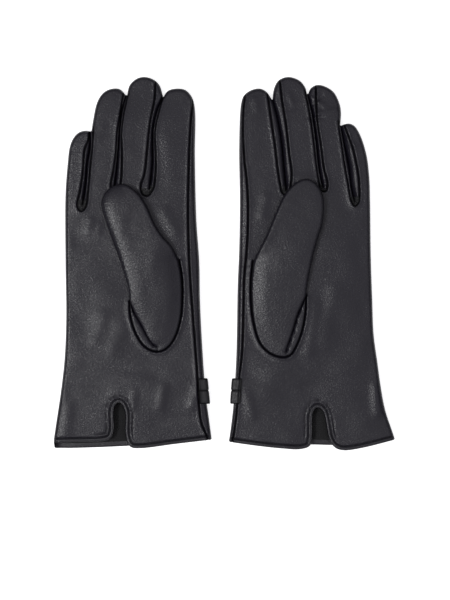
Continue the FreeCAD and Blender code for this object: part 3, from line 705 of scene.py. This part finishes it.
def buildShell(hand, lines, turns):
    # the whole outer skin of a glove but its thumb, with each face's body and panel
    cuts = cutLines(lines, turns)
    palmOutline = np.vstack([lines["side"][lines["corner"] + 1:-1], lines["hem"]])
    backOutline = np.vstack([lines["side"][:-1], lines["backHem"][:-1]])
    seams = [*lines["seams"], lines["sideSeam"]]
    around = [-2.2, -1.3, -0.7, -0.3, 0.3, 0.7, 1.3, 2.2]
    rows = [
        (lines["side"], [0.1, 0.35, 0.8, 1.4, 2.2, 3.2, 4.6, 6.4]),
        (lines["hem"], [0.5, 1.1, 1.7, 2.0, 2.6, 3.1, 3.6, 4.2, 4.7, 5.3]),
    ]
    rows += [(line, around) for line in [*seams, lines["thumbSeam"]]]
    keepOff = [lines["side"], lines["hem"], *seams, lines["thumbSeam"]]
    flat, topFaces = triangulate(palmOutline, [*cuts, *seams, rollLine(lines)], rows, keepOff)
    height, paintedShade = palmHeight(flat, hand, lines)
    panel = palmPanels(flat[topFaces].mean(1), hand, lines)
    top = np.column_stack([flat, height])
    top, topFaces, lipCount = addLip(flat, top, topFaces, lines["hem"], bands["palmLip"], True)
    lip = np.where(besideVent(top[topFaces[-lipCount:]].mean(1), hand), "vent", "hem")

    rows = [(lines["side"], [0.15, 0.6, 1.4, 2.6, 4.2])]
    flat, backFaces = triangulate(backOutline, cuts, rows, [lines["side"]])
    back = np.column_stack([flat, backHeight(flat, hand, lines)])
    backHem, profile = lines["backHem"], bands["backLip"]
    back, backFaces, lipCount = addLip(flat, back, backFaces[:, ::-1], backHem, profile, False)
    nearHem = distanceTo(back[backFaces].mean(1)[:, :2], backHem) < bands["roll"]
    nearHem[-lipCount:] = True
    panel = np.concatenate([panel, lip, np.where(nearHem, "hem", "back")])

    paintedShade = np.concatenate([paintedShade, np.zeros(len(top) + len(back) - len(paintedShade))])
    solid, faces, first = weld(np.vstack([top, back]), np.vstack([topFaces, backFaces + len(top)]))
    paintedShade = paintedShade[first]
    rim = distanceTo(solid[:, :2], lines["side"]) < shell["onEdge"]
    solid[rim, :2] += vertexNormals(solid, faces)[rim, :2] * shell["slitOverlap"]
    whole = (faces[:, 0] != faces[:, 1]) & (faces[:, 1] != faces[:, 2]) & (faces[:, 0] != faces[:, 2])
    faces, panel = faces[whole], panel[whole]

    middle = solid[faces].mean(1)[:, :2]
    column = slitColumn(middle, lines["slits"])
    body = np.full(len(faces), "hand", "<U6")
    for i, f in enumerate(fingers):
        along = (middle - turns[f]["flat"]) @ turns[f]["way"]
        body[(column == i) & (along > -shell["bendReach"])] = f
    return solid, faces, body, panel, paintedShade


def buildThumb(hand, lines):
    # the thumb's cushion over the strip that is sewn to the palm, with the painted shade along its sewn
    # seam and its thickness
    t = thumbShape
    turn = np.argmin(np.linalg.norm(lines["thumbSeam"] - lines["thumbFold"][0], axis=1))
    free = np.vstack([lines["thumbFold"], lines["thumbEdge"][1:]])
    sewn = lines["thumbSeam"][:turn + 1]
    rows = [(free, [0.1, 0.35, 0.8, 1.5, 2.5, 3.8, 5.4]), (sewn, [0.2, 0.6, 1.3, 2.4, 4, 6.5])]
    flat, faces = triangulate(np.vstack([free, sewn[1:]]), [], rows, [free, sewn])
    v = flat[:, 1]
    dFree, dSewn = distanceTo(flat, free), distanceTo(flat, sewn)
    edge = between(t["lowEdge"], t["edge"], ease(v, *t["edgeFrom"]))
    rim = between(t["sewn"], edge, ease(dSewn, 0, t["rimReach"]))
    crown = between(t["low"], t["top"], ease(v, *t["topFrom"])) - t["tipDrop"] * ease(v, *t["tipFrom"])
    crown = crown + waves(flat, t["waves"], seeds[hand]["thumb"]) * ease(dFree, 1, 7)
    freeRound = between(t["foldRound"], t["freeRound"], ease(v, *t["roundFrom"]))
    flank = distanceTo(flat, free[:np.argmax(free[:, 1])])
    slope, slow = t["flankSlope"][hand], t["sewnSlope"][hand]
    crisp = roundUp(dFree, freeRound) * (1 - slope + slope * roundUp(flank, t["softRound"]))
    rise = crisp * ((1 - slow) * roundUp(dSewn, t["sewnRound"]) + slow * ease(dSewn, 0, t["sewnRise"]))
    # never thinner than its own leather
    crown = rim + 0.5 * (crown - rim + np.sqrt((crown - rim) ** 2 + t["least"] ** 2))
    upper = between(rim, crown, rise)
    outer = np.minimum(dFree, dSewn)
    lower = rim - np.maximum(rim - t["bottom"], 0.25) * roundUp(outer, t["underRound"])
    onEdge = outer < shell["onEdge"]
    upper[onEdge] = lower[onEdge] = rim[onEdge]
    solid = np.vstack([np.column_stack([flat, upper]), np.column_stack([flat, lower])])
    solid, faces, first = weld(solid, np.vstack([faces, faces[:, ::-1] + len(flat)]))
    # the third is painted shade along the sewn seam
    return solid, faces, np.tile(bell(dSewn, 0.42), 2)[first], np.tile(upper - lower, 2)[first]


def buildGusset(lines):
    # the sewn strip between the thumb's fold and its seam, which runs on under the thumb
    strip, fold = thumbShape["gusset"], lines["thumbFold"]
    turn = np.argmin(np.linalg.norm(lines["thumbSeam"] - fold[0], axis=1))
    under = fold + normals2d(fold) * strip["under"]
    sewn = lines["thumbSeam"][turn:]
    outline = np.vstack([sewn[:-1], under[::-1][1:]])
    flat, faces = triangulate(outline, [], [(sewn, [0.2, 0.6, 1.2, 2.2])], [sewn])
    d = distanceTo(flat, sewn)
    beyond = isInside(flat, np.vstack([fold, under[::-1]]))
    tucked = np.where(beyond, 1, 1 - ease(distanceTo(flat, fold), 0, 1.0))
    height = thumbShape["sewn"] + strip["rise"] * roundUp(d, 1.0) - strip["dip"] * tucked * ease(d, 0, 2)
    # with painted shade along its seam
    return np.column_stack([flat, height]), faces, bell(d, 0.5)


bow = {
    "thickness": 1.0,
    "standOff": 1.0,  # how far the folded strap stands out at the glove's edge
    "tab": 4.4,  # how far it reaches over the palm side
    "turn": 2.5,  # the length it takes to turn over the edge
    "square": 0.55,  # below 1, the strap folds squarely over the edge
    "reach": 45.5,  # and under the back
    "keeperAt": 21.5,
    "gatherWidth": 7.5,
    "halfWidth": 8.7,
    "pinched": 4.6,
    "keeper": 3.4,
    "room": 2.5,  # how far the back gives way over it
    "knot": 0.5,
    "pleat": 0.22,
    "creaseAt": 0.4,
    # widths of the painted shade along the strap's edges and its middle crease
    "edgeShade": 0.7,
    "creaseShade": 0.42,
}


def bowSurface(hand, lines, along, across, lift):
    # points over the glove's edge: along is negative over the palm, positive under the back
    low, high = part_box(f"{hand}_bow_band")
    place = Place(hand)
    v = (place.flat(low)[1] + place.flat(high)[1]) / 2 + across
    edge = smoothCurve(gloves[hand]["indexSide"], 1)[::-1]
    out = np.interp(v, edge[:, 1], edge[:, 0])
    nearest = np.stack([out - np.clip(np.abs(along), bow["turn"], None), v], axis=1)
    over = along < 0
    level = np.where(over, palmHeight(nearest, hand, lines)[0], backHeight(nearest, hand, lines))
    t = np.clip(np.abs(along) / bow["turn"], 0, 1)
    climb, turn = np.sin(t * math.pi / 2) ** bow["square"], np.cos(t * math.pi / 2) ** bow["square"]
    z = between(shell["edgeHeight"], level, climb)
    side = np.where(over, 1.0, -1.0)
    reach = lift + bow["standOff"]
    return np.stack([out - np.abs(along) * (1 - turn) + turn * reach, v, z + side * climb * lift], axis=1)


def buildBow(hand, lines):
    # the strap as a closed band: a stiff tab on the palm side, gathered at the keeper under the back
    # each ring has 45 places across its upper side and 15 across its under side
    q = np.concatenate([np.linspace(-1, 1, 45), np.linspace(1, -1, 17)[1:-1]])
    bulge = np.sqrt(1 - np.abs(q) ** 6) * np.repeat([1, -1], [45, 15])
    rings, paintedShade = [], []
    for s in [*np.linspace(-bow["tab"], 4, 34, endpoint=False), *np.linspace(4, bow["reach"], 66)]:
        gather = bell(s - bow["keeperAt"], bow["gatherWidth"])
        half = bow["halfWidth"] - (bow["halfWidth"] - bow["pinched"]) * gather
        half -= 1.4 * max(0, (s - bow["reach"] + 5) / 5) ** 2
        across = half * q
        # painted shade along the strap's edges, its middle crease and its tab's end, and fully at the end
        # caps
        dark = bell(np.abs(across) - half, bow["edgeShade"])
        pleats = bow["pleat"] * np.cos(across / half * 7) * (0.25 + gather) * (1 if s > 6 else 0)
        if -bow["tab"] < s < 5:
            pleats = pleats - 0.5 * bell(across - bow["creaseAt"], 0.5)
        if s < 5:
            dark = np.maximum(dark, 0.9 * bell(across - bow["creaseAt"], bow["creaseShade"]))
            dark = np.maximum(dark, bell(s + bow["tab"], bow["edgeShade"]))
        thick = bow["thickness"] * (1 + 0.5 * gather)
        lift = (0.12 + 0.45 * (s < 0)) + thick / 2 + (thick / 2 + pleats) * bulge
        rings.append(bowSurface(hand, lines, np.full(len(q), s), across, np.maximum(lift, 0.08)))
        paintedShade.append(dark)
    return *closedTube(rings), np.concatenate([*paintedShade, [1.0, 1.0]])


def buildKeeper(hand, lines):
    # the little loop that gathers the bow
    turn = np.linspace(0, math.tau, 22, endpoint=False)
    q = -np.cos(turn)
    across = (bow["pinched"] + 0.9) * np.sign(q) * np.abs(q) ** 0.5
    rings = []
    for t in np.linspace(-1, 1, 13):
        thick = 0.1 + bow["knot"] * (1 - abs(t) ** 5) ** 0.5
        lift = np.maximum(bow["thickness"] * 1.5 + 0.2 + thick * np.sin(turn), 0.2)
        along = np.full(len(q), bow["keeperAt"] + bow["keeper"] * t)
        rings.append(bowSurface(hand, lines, along, across, lift))
    return closedTube(rings)


def addNode(tree, kind, inputs=None, **settings):
    made = tree.nodes.new(kind)
    for key, value in settings.items():
        setattr(made, key, value)
    for key, value in (inputs or {}).items():
        if isinstance(value, bpy.types.NodeSocket):
            tree.links.new(value, made.inputs[key])
        else:
            made.inputs[key].default_value = value
    return made


def calculate(tree, operation, a, b=0.0):
    return addNode(tree, "ShaderNodeMath", {0: a, 1: b}, operation=operation).outputs[0]


def weighted(tree, a, b, shareA, shareB):
    first, second = calculate(tree, "MULTIPLY", a, shareA), calculate(tree, "MULTIPLY", b, shareB)
    return calculate(tree, "ADD", first, second)


def newMaterial(name):
    material = bpy.data.materials.new(name)
    material.use_nodes = True
    return material, material.node_tree, material.node_tree.nodes["Principled BSDF"]


def twoColours(tree, amount, look):
    tint = addNode(tree, "ShaderNodeValToRGB", {"Fac": amount})
    for end, key in zip(tint.color_ramp.elements, ("dark", "light")):
        end.color = (*look[key], 1)
    return tint


def leatherGrainGroup():
    # pebbled skin: cells pressed apart by fine creases, and where the skin is worn smooth
    tree = bpy.data.node_groups.new("leatherGrain", "ShaderNodeTree")
    sockets = tree.interface
    sockets.new_socket("Position", in_out="INPUT", socket_type="NodeSocketVector")
    for label, value in {"Pebble Scale": 1500.0, "Crease Scale": 130.0, "Crease Depth": 0.5}.items():
        sockets.new_socket(label, in_out="INPUT", socket_type="NodeSocketFloat").default_value = value
    for label in ("Height", "Tone", "Gloss"):
        sockets.new_socket(label, in_out="OUTPUT", socket_type="NodeSocketFloat")
    given, result = tree.nodes.new("NodeGroupInput").outputs, tree.nodes.new("NodeGroupOutput").inputs

    def noise(**inputs):
        return addNode(tree, "ShaderNodeTexNoise", {"Vector": given["Position"], **inputs}).outputs

    warp = noise(Scale=400.0, Detail=2.0)["Color"]
    shift = addNode(tree, "ShaderNodeVectorMath", {0: warp, "Scale": 0.0007}, operation="SCALE")
    spot = addNode(tree, "ShaderNodeVectorMath", {0: given["Position"], 1: shift.outputs[0]}).outputs[0]
    size = {"Vector": spot, "Scale": given["Pebble Scale"], "Smoothness": 0.6}
    cells = addNode(tree, "ShaderNodeTexVoronoi", size, feature="SMOOTH_F1")
    pebble = calculate(tree, "SUBTRACT", 1.0, cells.outputs["Distance"])
    grain = noise(Scale=900.0, Detail=3.0, Roughness=0.65)["Fac"]
    crease = noise(Scale=given["Crease Scale"], Detail=4.0, Distortion=1.2)["Fac"]
    fold = calculate(tree, "ABSOLUTE", calculate(tree, "SUBTRACT", crease, 0.5))
    fold = calculate(tree, "MINIMUM", calculate(tree, "MULTIPLY", fold, 9.0), 1.0)
    broad = noise(Scale=38.0, Detail=3.0)["Fac"]
    height = calculate(tree, "ADD", calculate(tree, "MULTIPLY", pebble, 0.6), grain)
    height = calculate(tree, "ADD", height, calculate(tree, "MULTIPLY", fold, given["Crease Depth"]))
    tree.links.new(height, result["Height"])
    tree.links.new(weighted(tree, broad, grain, 0.6, 0.4), result["Tone"])
    tree.links.new(weighted(tree, pebble, broad, 0.7, 0.3), result["Gloss"])
    return tree


def leatherMaterial(name, look, grain):
    material, tree, skin = newMaterial(name)
    worked = addNode(tree, "ShaderNodeGroup", node_tree=grain)
    tree.links.new(addNode(tree, "ShaderNodeTexCoord").outputs["Object"], worked.inputs["Position"])
    keys = {"Pebble Scale": "pebble", "Crease Scale": "creaseScale", "Crease Depth": "creaseDepth"}
    for label, key in keys.items():
        worked.inputs[label].default_value = look[key]
    tint = twoColours(tree, worked.outputs["Tone"], look)
    tint.color_ramp.elements[0].position, tint.color_ramp.elements[1].position = 0.32, 0.68
    # the seam attribute is painted shade: it darkens the colour nearly to black in the seam grooves and
    # along the strap's edges, and roughens it there
    seam = addNode(tree, "ShaderNodeAttribute", attribute_name="seam").outputs["Fac"]
    colour = addNode(tree, "ShaderNodeMix", {6: tint.outputs["Color"], 7: (0, 0, 0, 1)}, data_type="RGBA")
    tree.links.new(calculate(tree, "MULTIPLY", seam, 0.92), colour.inputs[0])
    tree.links.new(colour.outputs[2], skin.inputs["Base Color"])
    span = {"Value": worked.outputs["Gloss"], "From Min": 0.35, "From Max": 0.75}
    rough = addNode(tree, "ShaderNodeMapRange", span)
    rough.inputs["To Min"].default_value, rough.inputs["To Max"].default_value = look["rough"]
    rougher = calculate(tree, "ADD", rough.outputs[0], calculate(tree, "MULTIPLY", seam, 0.3))
    tree.links.new(rougher, skin.inputs["Roughness"])
    bump = addNode(tree, "ShaderNodeBump", {"Height": worked.outputs["Height"]})
    bump.inputs["Distance"].default_value = look["bump"]
    bump.inputs["Strength"].default_value = look["strength"]
    tree.links.new(bump.outputs[0], skin.inputs["Normal"])
    # painted shade: there the skin also turns into a black metal, which reflects nothing, so the bottoms of
    # the seams stay black as if in shadow
    tree.links.new(calculate(tree, "MULTIPLY", seam, 0.8), skin.inputs["Metallic"])
    skin.inputs["Specular IOR Level"].default_value = look["specular"]
    return material


def liningMaterial():
    # a fine dark knit: columns of small loops
    material, tree, skin = newMaterial("knitLining")
    place = addNode(tree, "ShaderNodeTexCoord").outputs["Object"]
    wales = {"Vector": place, "Scale": 260.0, "Distortion": 1.2, "Detail": 1.0, "Detail Scale": 2.0}
    wales = addNode(tree, "ShaderNodeTexWave", wales).outputs["Fac"]
    loops = {"Vector": place, "Scale": 200.0, "Distortion": 2.0}
    loops = addNode(tree, "ShaderNodeTexWave", loops, bands_direction="Y").outputs["Fac"]
    height = calculate(tree, "MULTIPLY", wales, loops)
    tree.links.new(twoColours(tree, height, lining).outputs["Color"], skin.inputs["Base Color"])
    bump = addNode(tree, "ShaderNodeBump", {"Height": height, "Distance": 0.0003})
    tree.links.new(bump.outputs[0], skin.inputs["Normal"])
    skin.inputs["Roughness"].default_value = 0.9
    skin.inputs["Sheen Weight"].default_value = lining["sheen"]
    return material


looks = {
    "leather": {
        "dark": (0.0058, 0.0050, 0.0090), "light": (0.0082, 0.0073, 0.0118), "rough": (0.41, 0.2),
        "specular": 0.32, "pebble": 1200.0, "creaseScale": 130.0, "creaseDepth": 0.1,
        "bump": 0.00016, "strength": 1.0,
    },
    "binding": {
        "dark": (0.0056, 0.0050, 0.0082), "light": (0.008, 0.0073, 0.0108), "rough": (0.46, 0.26),
        "specular": 0.34, "pebble": 1500.0, "creaseScale": 220.0, "creaseDepth": 0.3,
        "bump": 0.00015, "strength": 0.9,
    },
    "quirk": {
        "dark": (0.009, 0.009, 0.010), "light": (0.018, 0.018, 0.019), "rough": (0.5, 0.28),
        "specular": 0.5, "pebble": 1400.0, "creaseScale": 420.0, "creaseDepth": 1.4,
        "bump": 0.0005, "strength": 1.0,
    },
    "bow": {
        "dark": (0.0052, 0.005, 0.0066), "light": (0.008, 0.0078, 0.0095), "rough": (0.58, 0.3),
        "specular": 0.34, "pebble": 1400.0, "creaseScale": 300.0, "creaseDepth": 0.35,
        "bump": 0.00015, "strength": 1.0,
    },
}
lining = {"dark": (0.0015, 0.0015, 0.002), "light": (0.006, 0.006, 0.0065), "sheen": 0.1}
stitch = {"spacing": 2.1, "length": 1.35, "thread": 0.2, "fromEdge": 2.5, "seed": 3}


def stitchTree():
    tree = bpy.data.node_groups.new("stitchRow", "GeometryNodeTree")
    face = tree.interface
    face.new_socket("Geometry", in_out="INPUT", socket_type="NodeSocketGeometry")
    sockets = {}
    for label, kind in (
        ("Spacing", "NodeSocketFloat"), ("Length", "NodeSocketFloat"), ("Thread", "NodeSocketFloat"),
        ("Seed", "NodeSocketInt"), ("Material", "NodeSocketMaterial"),
    ):
        sockets[label] = face.new_socket(label, in_out="INPUT", socket_type=kind).identifier
    face.new_socket("Geometry", in_out="OUTPUT", socket_type="NodeSocketGeometry")
    given = tree.nodes.new("NodeGroupInput").outputs

    def made(kind, inputs=None, **settings):
        return addNode(tree, kind, inputs, **settings).outputs[0]

    path = made("GeometryNodeMeshToCurve", {"Mesh": given["Geometry"]})
    dots = addNode(tree, "GeometryNodeResampleCurve", {"Curve": path}, mode="LENGTH")
    tree.links.new(given["Spacing"], dots.inputs["Length"])
    tangent = made("GeometryNodeInputTangent")
    turned = made("FunctionNodeAlignRotationToVector", {"Vector": tangent}, axis="Z")
    wobble = addNode(tree, "FunctionNodeRandomValue", {"Seed": given["Seed"]}, data_type="FLOAT_VECTOR")
    wobble.inputs[0].default_value, wobble.inputs[1].default_value = (-0.12, -0.12, 0), (0.12, 0.12, 0)
    tilt = made("FunctionNodeEulerToRotation", {0: wobble.outputs[0]})
    facing = made("FunctionNodeRotateRotation", {"Rotation": turned, "Rotate By": tilt})
    thread = made("GeometryNodeMeshUVSphere", {"Segments": 6, "Rings": 5, "Radius": 1.0})
    half = calculate(tree, "MULTIPLY", given["Length"], 0.5)
    size = made("ShaderNodeCombineXYZ", {"X": given["Thread"], "Y": given["Thread"], "Z": half})
    spots = {"Points": dots.outputs[0], "Instance": thread, "Rotation": facing, "Scale": size}
    placed = made("GeometryNodeInstanceOnPoints", spots)
    real = made("GeometryNodeRealizeInstances", {"Geometry": placed})
    done = made("GeometryNodeSetMaterial", {"Geometry": real, "Material": given["Material"]})
    tree.links.new(done, tree.nodes.new("NodeGroupOutput").inputs[0])
    return tree, sockets


def stitchRow(name, place, path, material, tree, sockets):
    # stitches along a path of drawing points, as a plain mesh
    mesh = bpy.data.meshes.new(name + "Path")
    mesh.from_pydata(place.solid(path).tolist(), [(i, i + 1) for i in range(len(path) - 1)], [])
    helper = addObject(name + "Path", mesh)
    worked = helper.modifiers.new("stitches", "NODES")
    worked.node_group = tree
    values = {key.capitalize(): stitch[key] * mm for key in ("spacing", "length", "thread")}
    for label, value in {**values, "Seed": stitch["seed"], "Material": material}.items():
        worked[sockets[label]] = value
    seen = helper.evaluated_get(bpy.context.evaluated_depsgraph_get())
    row = bpy.data.meshes.new_from_object(seen)
    row.name = name
    row.shade_smooth()
    bpy.data.objects.remove(helper)
    return addObject(name, row)


def finished(piece, body, nodes=()):
    if nodes:
        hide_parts(*nodes)
    if isinstance(body, str):
        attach(piece, body)
    else:
        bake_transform(piece)


def bendAt(hand, turn, reach):
    # the hand's body, the finger's body, and the points this reach before and beyond its hinge
    away = turn["along"] * reach * mm
    return f"{hand}_hand", turn["body"], turn["spot"] - away, turn["spot"] + away


def makeHand(hand, place, lines, turns, materials):
    solid, faces, body, panel, paintedShade = buildShell(hand, lines, turns)
    normals = vertexNormals(solid, faces)
    inner = solid - normals * shell["thickness"]
    trank = np.isin(panel, ["palm", "back", "wrap"])
    lined = trank | np.isin(panel, ["fourchette", "quirk"])

    def skin(name, chosen, bends, nodes, look="leather", slot="leather"):
        piece = addPiece(f"{hand}_{name}", place, solid, faces[chosen], materials[look], normals, paintedShade)
        finished(piece, bends, [f"{hand}_{node}" for node in nodes])

    def knit(name, chosen, bends, node):
        inwards = faces[chosen & lined][:, ::-1]
        piece = addPiece(f"{hand}_{name}", place, inner, inwards, materials["lining"], -normals)
        finished(piece, bends, [f"{hand}_{node}"])

    onHand = body == "hand"
    palm = f"{hand}_hand"
    skin("palm", onHand & (panel == "palm"), palm, ["palm_panel"])
    skin("back", onHand & np.isin(panel, ["back", "wrap"]), palm, ["back_panel", "side_folds"])
    skin("fourchetteRoots", onHand & (panel == "fourchette"), palm, ["fourchette_ends"])
    skin("quirkPieces", onHand & (panel == "quirk"), palm, ["quirks"], "quirk")
    skin("hemBinding", onHand & (panel == "hem"), palm, ["hem_binding"], "binding", "binding")
    skin("ventBinding", onHand & (panel == "vent"), palm, ["vent_binding"], "binding", "binding")
    knit("handLining", onHand, palm, "hand_lining")
    for f in fingers:
        bends = bendAt(hand, turns[f], shell["bendReach"])
        skin(f"{f}Leather", (body == f) & trank, bends, [f"{f}_leather"])
        skin(f"{f}Fourchettes", (body == f) & ~trank, bends, [f"{f}_fourchettes"])
        knit(f"{f}Lining", body == f, bends, f"{f}_lining")
    print(hand, "glove: palm, back, fingers")


def makeThumb(hand, place, lines, turns, materials):
    bends = bendAt(hand, turns["thumb"], thumbShape["bendReach"])
    points, faces, seam, room = buildThumb(hand, lines)
    lean = vertexNormals(points, faces)
    # seam holds the painted shade along the thumb's sewn seam
    thumb = addPiece(f"{hand}_thumbLeather", place, points, faces, materials["leather"], lean, seam)
    finished(thumb, bends, [f"{hand}_thumb_leather"])
    inner = points - lean * np.minimum(thumbShape["thickness"], 0.4 * room)[:, None]
    knit = addPiece(f"{hand}_thumbLining", place, inner, faces[:, ::-1], materials["lining"], -lean)
    finished(knit, bends, [f"{hand}_thumb_lining"])
    points, faces, seam = buildGusset(lines)
    # seam holds the gusset's painted shade along its seam
    gusset = addPiece(f"{hand}_thumbGusset", place, points, faces, materials["leather"], None, seam)
    finished(gusset, f"{hand}_hand", [f"{hand}_thumb_gusset"])
    print(hand, "glove: thumb")


def makeTrim(hand, place, lines, materials, stitches):
    palm = f"{hand}_hand"
    points, faces, dark = buildBow(hand, lines)
    # dark holds the strap's painted shade
    strap = addPiece(f"{hand}_bowBand", place, points, faces, materials["bow"], None, dark)
    finished(strap, palm, [f"{hand}_bow_band"])
    keeper = addPiece(f"{hand}_bowKeeper", place, *buildKeeper(hand, lines), materials["bow"])
    finished(keeper, palm, [f"{hand}_bow_keeper"])
    path = rollLine(lines)
    path = path[distanceTo(path, lines["side"]) > stitch["fromEdge"]]
    height = palmHeight(path, hand, lines)[0] + stitch["thread"] * 0.4
    path = np.column_stack([path, height])
    row = stitchRow(f"{hand}_hemStitches", place, path, materials["thread"], *stitches)
    finished(row, palm)
    print(hand, "glove: bow, stitches")


grain = leatherGrainGroup()
materials = {name: leatherMaterial(name, look, grain) for name, look in looks.items()}
materials["lining"] = liningMaterial()
materials["thread"] = leatherMaterial("thread", {**looks["binding"], "pebble": 3000.0}, grain)
stitches = stitchTree()
print("materials:", len(materials))
for hand in gloves:
    place, lines = Place(hand), drawGlove(hand)
    turns = hinges(hand, place)
    makeHand(hand, place, lines, turns, materials)
    makeThumb(hand, place, lines, turns, materials)
    makeTrim(hand, place, lines, materials, stitches)

studio = {
    "overhead": {"at": (0.0, 0.0, 1.6), "size": 3.0, "power": 21, "colour": (0.94, 0.92, 1.0)},
    "key": {"at": (-1.5, -0.4, 3.0), "size": 0.65, "power": 50, "colour": (1, 1, 1)},
    "room": 0.22,
    "floorSize": 3.0,
    "paper": (0.8, 0.8, 0.8, 1),
    "paperGlow": 0.7,
}
view = {"centre": (1.735, -24.24), "height": 414.0, "distance": 1500.0}  # millimetres


def addFloor():
    size = studio["floorSize"]
    mesh = bpy.data.meshes.new("floor")
    corners = [(-size, -size, 0), (size, -size, 0), (size, size, 0), (-size, size, 0)]
    mesh.from_pydata(corners, [], [(0, 1, 2, 3)])
    floor = addObject("floor", mesh)
    paper, tree, skin = newMaterial("paleFloor")
    skin.inputs["Base Color"].default_value = studio["paper"]
    skin.inputs["Roughness"].default_value = 0.9
    skin.inputs["Specular IOR Level"].default_value = 0.1
    skin.inputs["Emission Color"].default_value = (1, 1, 1, 1)
    # it glows for the camera alone, so that it looks white and lights nothing
    seen = addNode(tree, "ShaderNodeLightPath").outputs["Is Camera Ray"]
    glow = calculate(tree, "MULTIPLY", seen, studio["paperGlow"])
    tree.links.new(glow, skin.inputs["Emission Strength"])
    mesh.materials.append(paper)


def addLight(name, at, size, power, colour):
    light = bpy.data.lights.new(name, "AREA")
    light.shape, light.size, light.energy, light.color = "SQUARE", size, power, colour
    lamp = addObject(name, light)
    lamp.location = at
    lamp.rotation_euler = (-Vector(at)).to_track_quat("-Z", "Y").to_euler()


addFloor()
for name in ("overhead", "key"):
    addLight(name, **studio[name])
world = bpy.data.worlds.new("studio")
world.use_nodes = True
world.node_tree.nodes["Background"].inputs["Color"].default_value = (1, 1, 1, 1)
world.node_tree.nodes["Background"].inputs["Strength"].default_value = studio["room"]
bpy.context.scene.world = world
bpy.context.scene.view_settings.view_transform = "Standard"

camera = bpy.data.cameras.new("camera")
camera.sensor_width = 36
camera.lens = camera.sensor_width * view["distance"] / view["height"]
eye = addObject("camera", camera)
eye.location = (view["centre"][0] * mm, view["centre"][1] * mm, view["distance"] * mm)
bpy.context.scene.camera = eye
print("floor, lights, camera")
